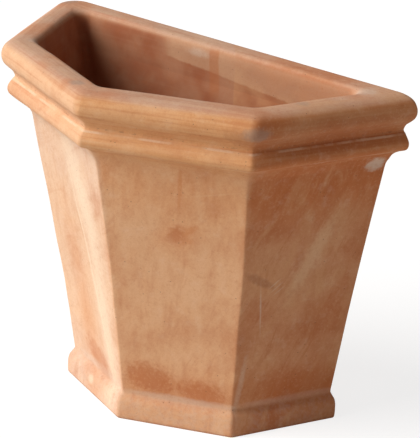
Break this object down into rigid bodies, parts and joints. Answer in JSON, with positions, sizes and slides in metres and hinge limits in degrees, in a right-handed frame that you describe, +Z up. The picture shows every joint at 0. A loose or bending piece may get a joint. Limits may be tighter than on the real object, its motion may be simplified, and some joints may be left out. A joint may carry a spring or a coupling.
{
  "type": "wall planter",
  "caption": "Terracotta wall planter, half of a tapered octagonal pot with a flat back, a thick rolled rim, a bead moulding and a foot band.",
  "frame": {"origin": "middle of the footprint, on the ground", "axes": "+Z up, +Y into the wall that the flat back stands against, X along the wall"},
  "size_m": [0.5086, 0.2541, 0.4],
  "materials": {
    "terracotta": "matte"
  },
  "bodies": {
    "root": {"floor_slab": "terracotta", "wall_back": "terracotta", "wall_left_end": "terracotta", "wall_left_front": "terracotta", "wall_right_front": "terracotta", "wall_right_end": "terracotta", "foot_left_end": "terracotta", "foot_left_front": "terracotta", "foot_right_front": "terracotta", "foot_right_end": "terracotta", "bead_left_end": "terracotta", "bead_left_front": "terracotta", "bead_right_front": "terracotta", "bead_right_end": "terracotta", "rim_back": "terracotta", "rim_left_end": "terracotta", "rim_left_front": "terracotta", "rim_right_front": "terracotta", "rim_right_end": "terracotta"}
  },
  "joints": []
}
